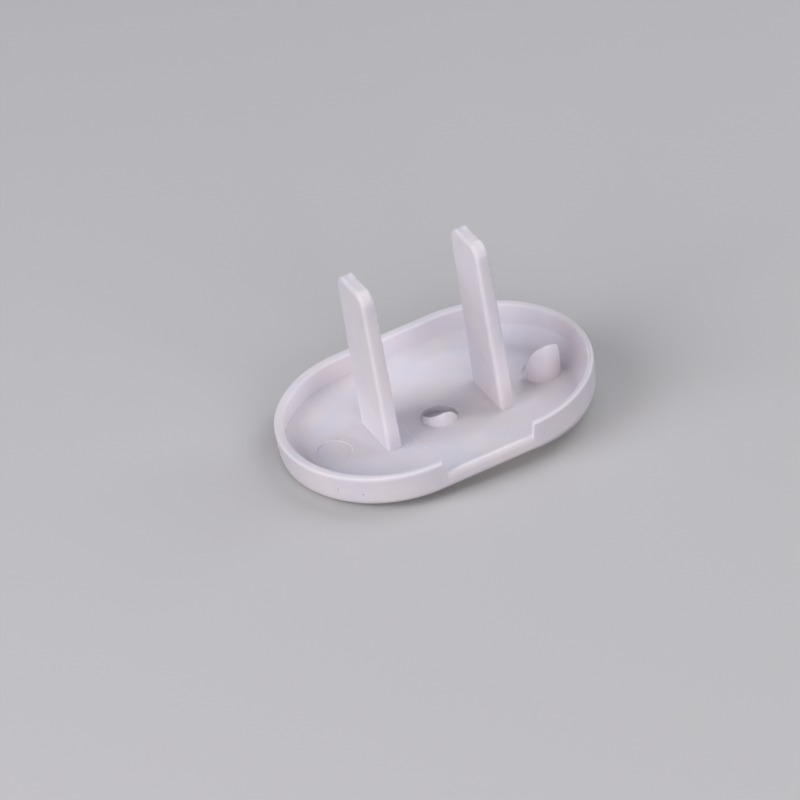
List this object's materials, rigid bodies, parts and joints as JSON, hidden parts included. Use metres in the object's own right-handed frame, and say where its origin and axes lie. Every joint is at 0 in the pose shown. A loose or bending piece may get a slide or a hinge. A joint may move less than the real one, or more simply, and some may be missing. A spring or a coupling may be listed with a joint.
{
  "type": "outlet safety cover",
  "caption": "Oval moulded cap with a raised rim, a pry notch and flat blades that plug a power outlet shut.",
  "frame": {"origin": "middle of the flat front face, which lies on the table", "axes": "+X along the cap's length towards its high end, +Y from the notched side to the plain side, +Z from the flat face towards the blades"},
  "size_m": [0.0334, 0.0228, 0.0209],
  "materials": {
    "cover_plastic": "satin, slightly worn white plastic"
  },
  "bodies": {
    "root": {"outlet_cover": "cover_plastic"}
  },
  "joints": []
}
